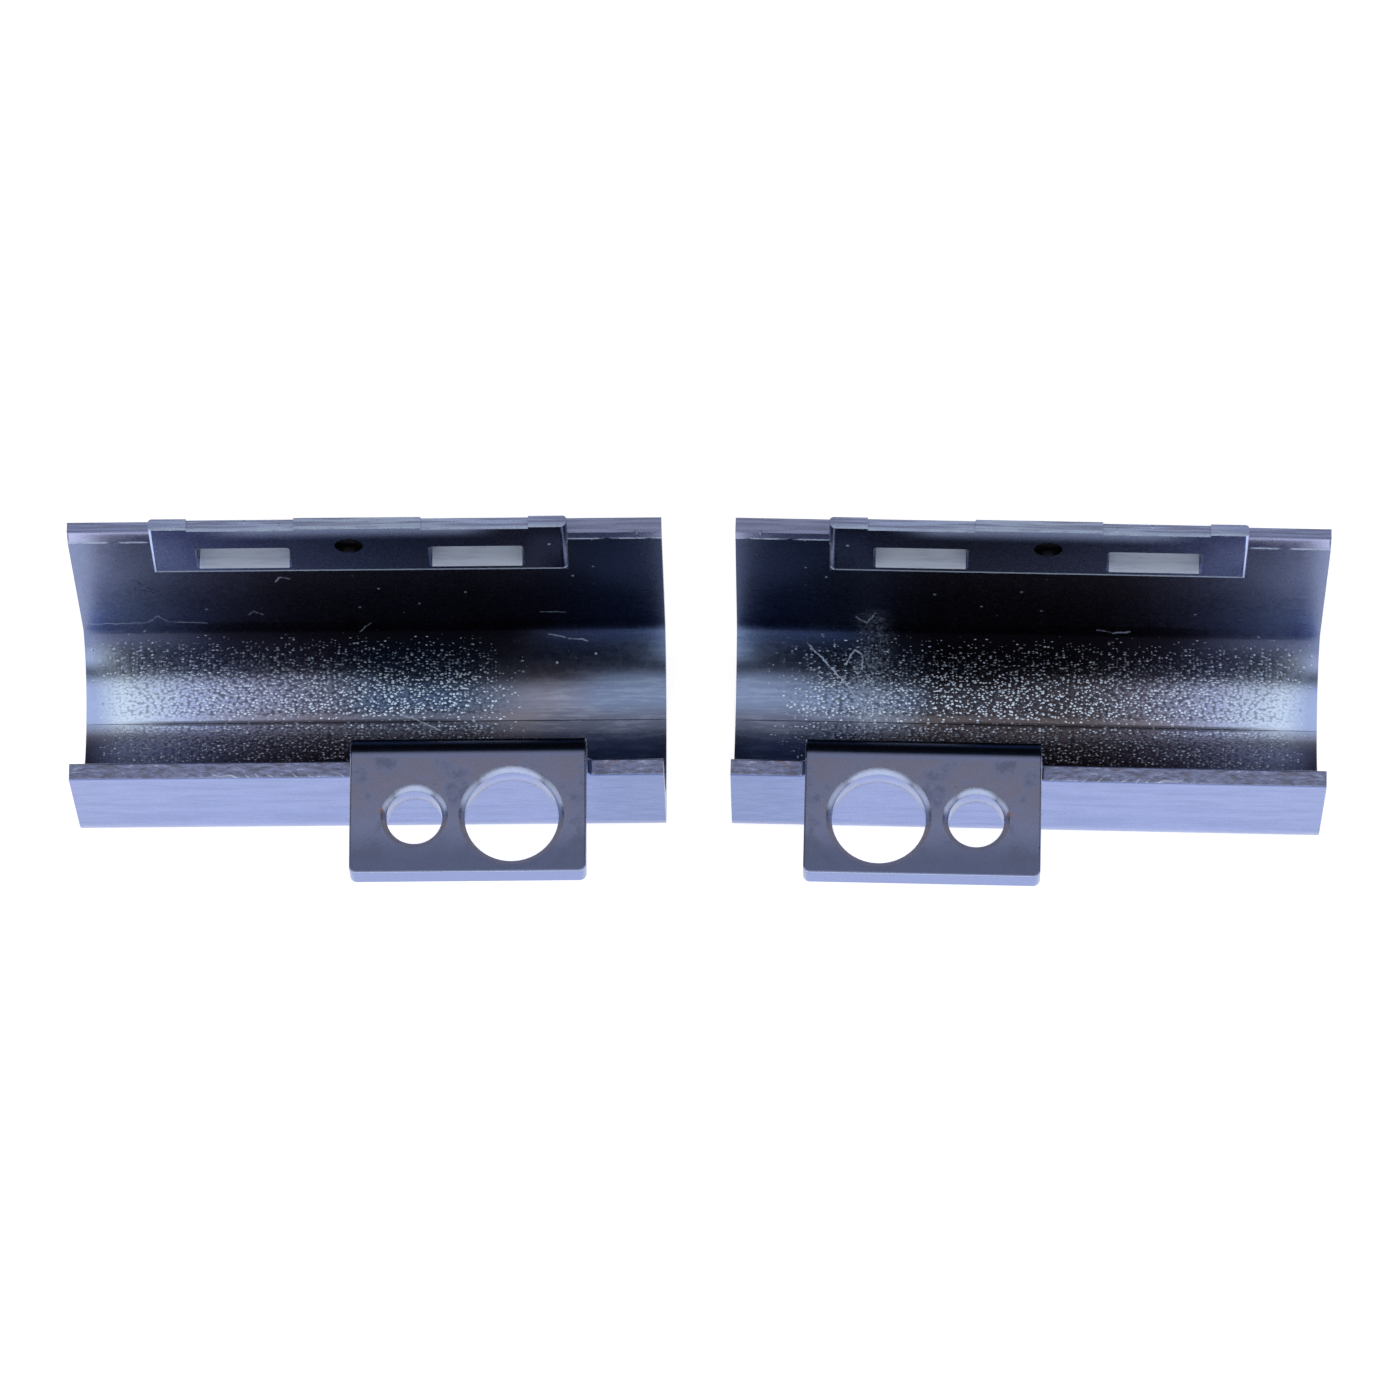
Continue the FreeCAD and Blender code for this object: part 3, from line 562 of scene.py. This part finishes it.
def plated_material(name, hand):
    """Bluish nickel over a zinc casting: bright outside, and dark by painted shade where the channel is deep.
    """
    material = bpy.data.materials.new(name)
    material.use_nodes = True
    graph = Graph(material.node_tree)
    skin = Skin(graph, hand)
    u, v, w = skin.u, skin.v, skin.w
    left = hand > 0
    trough_painted_light = LEFT_TROUGH_PAINTED_LIGHT if left else RIGHT_TROUGH_PAINTED_LIGHT
    grains_end = LEFT_GRAINS_END if left else RIGHT_GRAINS_END
    plate = graph.mix(skin.inside, outside_plate(skin), lining_plate(skin, trough_painted_light))
    facing_in = (1.0 - graph.smooth(skin.backward, -0.5, -0.2)) * (1.0 - skin.upward)
    end_height = WALL_TOP - WALL_END_DROP
    wall_end = skin.behind * (1.0 - skin.on_tongue) * graph.smooth(w, end_height, end_height + 0.06)
    plate = graph.mix(wall_end * facing_in * 0.9, plate, WALL_END_PLATE)
    grains, share, shaded_hollows = pebble_pattern(skin, grains_end)
    glare = graph.band(v, *GLARE_BAND, 0.6)
    grains = grains * (0.2 + 0.8 * graph.smooth(v, 10.2, 12.2))
    deep = graph.smooth(u + skin.wander * 0.3, *OUTER_GLARE)
    # painted shade: the grained ground darker away from the outer end, darkest in the hollows between grains
    plate = graph.mix(share * deep * 0.25 + shaded_hollows * 0.5, plate, BLACK)
    # painted glints on the grains
    plate = graph.mix(graph.smooth(grains, 0.1, 0.55), plate, SPECK_AND_GLINT)

    # painted shade along the foot of the flow line, which fades out towards both ends
    foot = graph.band(v, FLOW_LINE_Y - 0.1, FLOW_LINE_Y + 0.02, 0.12) * skin.inside
    foot = foot * (1.0 - graph.smooth(w, 1.5, 2.0))
    plate = graph.mix(foot * graph.band(u + skin.wander * 0.3, *FLOW_LINE_STRETCH, 4.0) * 0.7, plate, BLACK)

    # the slots' bare ledges, painted shade in the dimple, and painted highlights on the lower edges of the
    # tongue and of the wall's ends
    plate = graph.mix(skin.ledge * (0.75 + 0.25 * graph.smooth(skin.streaks, 0.3, 0.55)), plate, BARE_LEDGE)
    beside = u - DIMPLE_MIDDLE
    above = w - DIMPLE_HEIGHT
    from_dimple = graph.math("SQRT", beside * beside + above * above)
    dimple = 1.0 - graph.smooth(from_dimple, DIMPLE_RADIUS, DIMPLE_RADIUS + 0.06)
    plate = graph.mix(dimple * graph.band(v, *DIMPLE, 0.1), plate, BLACK)
    tongue_foot = graph.band(w, TONGUE_BOTTOM, TONGUE_BOTTOM + 0.09, 0.05) * skin.on_tongue
    end_foot = graph.band(w, end_height - 0.04, end_height + 0.04, 0.04) * (1.0 - skin.on_tongue)
    end_foot = end_foot * graph.smooth(skin.patches, 0.42, 0.56)
    bright_edge = graph.math("MAXIMUM", tongue_foot, end_foot) * skin.behind * skin.inside
    plate = graph.mix(bright_edge, plate, LINT_AND_HIGHLIGHT)
    plate, lint_and_highlights = lint_and_marks(skin, left, plate)

    height = grains * (1.0 - 0.9 * glare) * GRAIN_RELIEF + skin.scraped * skin.lip_end * SCRAPE_RELIEF
    height = height + graph.noise(skin.place, 14.0, 2.0) * FINE_RELIEF
    height = height + skin.streaks * skin.front * STREAK_RELIEF
    height = height + graph.noise(skin.place, 1.1, 2.0) * WAVE_RELIEF
    bump = graph.add("ShaderNodeBump")
    bump.inputs["Distance"].default_value = MM
    graph.feed(bump.inputs["Height"], height)

    shader = graph.add("ShaderNodeBsdfPrincipled")
    output = graph.add("ShaderNodeOutputMaterial")
    graph.feed(output.inputs["Surface"], shader.outputs[0])
    graph.feed(shader.inputs["Normal"], bump.outputs[0])
    graph.feed(shader.inputs["Base Color"], plate)
    roughness = 0.21 + 0.12 * graph.noise(skin.place, 2.2, 3.0) + 0.1 * grains + 0.15 * skin.lip_end
    graph.feed(shader.inputs["Roughness"], roughness + 0.4 * lint_and_highlights + 0.2 * (skin.ledge + bright_edge))
    dull = skin.ledge + 0.8 * (bright_edge + skin.rim * skin.near_rim) + 0.6 * skin.eased + 0.3 * skin.strip
    graph.feed(shader.inputs["Metallic"], 1.0 - lint_and_highlights - dull)
    return material


def worn_material(name):
    """The plating along the edges, rubbed bright in patches."""
    material = bpy.data.materials.new(name)
    material.use_nodes = True
    graph = Graph(material.node_tree)
    metres = graph.add("ShaderNodeTexCoord").outputs["Object"]
    place = stretched(graph, metres, (0.6 / MM, 1.0 / MM, 1.0 / MM))
    rubbed = graph.smooth(graph.noise(place, 1.8, 3.0, 0.65), 0.34, 0.56)
    shader = graph.add("ShaderNodeBsdfPrincipled")
    output = graph.add("ShaderNodeOutputMaterial")
    graph.feed(output.inputs["Surface"], shader.outputs[0])
    graph.feed(shader.inputs["Base Color"], graph.mix(0.2 + 0.6 * rubbed, CLOUD_PLATE, WORN_EDGE_AND_HIGHLIGHT))
    graph.feed(shader.inputs["Roughness"], 0.25 + 0.1 * rubbed)
    shader.inputs["Metallic"].default_value = WORN_METALLIC
    return material


def dress(node, hand):
    """Breaks the edges of a casting, as its plating shows them, and gives it its finish."""
    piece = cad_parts[node]
    piece.data.materials.clear()
    piece.data.materials.append(plated_material(f"{node}_plating", hand))
    piece.data.materials.append(worn_material(f"{node}_worn_edges"))
    weld = piece.modifiers.new("weld", "WELD")
    weld.merge_threshold = WELD_REACH
    flat = piece.modifiers.new("flat", "DECIMATE")
    flat.decimate_type = "DISSOLVE"
    flat.angle_limit = FLAT_ANGLE
    bevel = piece.modifiers.new("edges", "BEVEL")
    bevel.limit_method = "ANGLE"
    bevel.angle_limit = EDGE_ANGLE
    bevel.width = EDGE_WIDTH
    bevel.segments = 2
    bevel.material = 1
    shade = piece.modifiers.new("shade", "WEIGHTED_NORMAL")
    shade.keep_sharp = False


def add_table():
    """A wide white table, lit from within a little where it is seen or mirrored."""
    mesh = bpy.data.meshes.new("table")
    signs = ((-1, -1), (1, -1), (1, 1), (-1, 1))
    corners = [(x * TABLE_REACH, y * TABLE_REACH, TABLE_DROP) for x, y in signs]
    mesh.from_pydata(corners, [], [(0, 1, 2, 3)])
    table = bpy.data.objects.new("table", mesh)
    bpy.context.scene.collection.objects.link(table)
    material = bpy.data.materials.new("white_table")
    material.use_nodes = True
    graph = Graph(material.node_tree)
    rays = graph.add("ShaderNodeLightPath")
    seen = graph.math("MAXIMUM", rays.outputs["Is Camera Ray"], rays.outputs["Is Glossy Ray"])
    seen = graph.math("MAXIMUM", seen, rays.outputs["Is Transmission Ray"])
    matt = graph.add("ShaderNodeBsdfDiffuse")
    matt.inputs["Color"].default_value = (*TABLE_COLOUR, 1.0)
    glow = graph.add("ShaderNodeEmission")
    graph.feed(glow.inputs["Strength"], seen * TABLE_GLOW)
    both = graph.add("ShaderNodeAddShader")
    output = graph.add("ShaderNodeOutputMaterial")
    graph.tree.links.new(matt.outputs[0], both.inputs[0])
    graph.tree.links.new(glow.outputs[0], both.inputs[1])
    graph.tree.links.new(both.outputs[0], output.inputs["Surface"])
    mesh.materials.append(material)


def add_light():
    """The dim surroundings and the soft lights, each aimed at the middle of the table."""
    world = bpy.data.worlds.new("studio")
    bpy.context.scene.world = world
    world.use_nodes = True
    graph = Graph(world.node_tree)
    sky = graph.add("ShaderNodeBackground")
    sky.inputs["Color"].default_value = (1.0, 1.0, 1.0, 1.0)
    sky.inputs["Strength"].default_value = SKY
    graph.tree.links.new(sky.outputs[0], graph.add("ShaderNodeOutputWorld").inputs["Surface"])
    for name, (place, size, power) in SOFT_LIGHTS.items():
        lamp = bpy.data.lights.new(name, "AREA")
        lamp.shape = "RECTANGLE"
        lamp.size, lamp.size_y = size
        lamp.energy = power
        light = bpy.data.objects.new(name, lamp)
        light.location = place
        light.rotation_euler = Vector(place).to_track_quat("Z", "Y").to_euler()
        bpy.context.scene.collection.objects.link(light)


def add_camera():
    """The photograph's camera."""
    data = bpy.data.cameras.new("camera")
    data.lens = LENS
    data.sensor_width = SENSOR
    camera = bpy.data.objects.new("camera", data)
    level = math.cos(ELEVATION)
    back = Vector((math.sin(AZIMUTH) * level, -math.cos(AZIMUTH) * level, math.sin(ELEVATION)))
    camera.location = TARGET + back * DISTANCE
    aim = back.to_track_quat("Z", "Y") @ Quaternion((0.0, 0.0, 1.0), ROLL)
    camera.rotation_euler = aim.to_euler()
    bpy.context.scene.collection.objects.link(camera)
    bpy.context.scene.camera = camera


dress("left_hinge_cover", 1.0)
dress("right_hinge_cover", -1.0)
add_table()
add_light()
add_camera()
bpy.context.scene.view_settings.view_transform = "Standard"
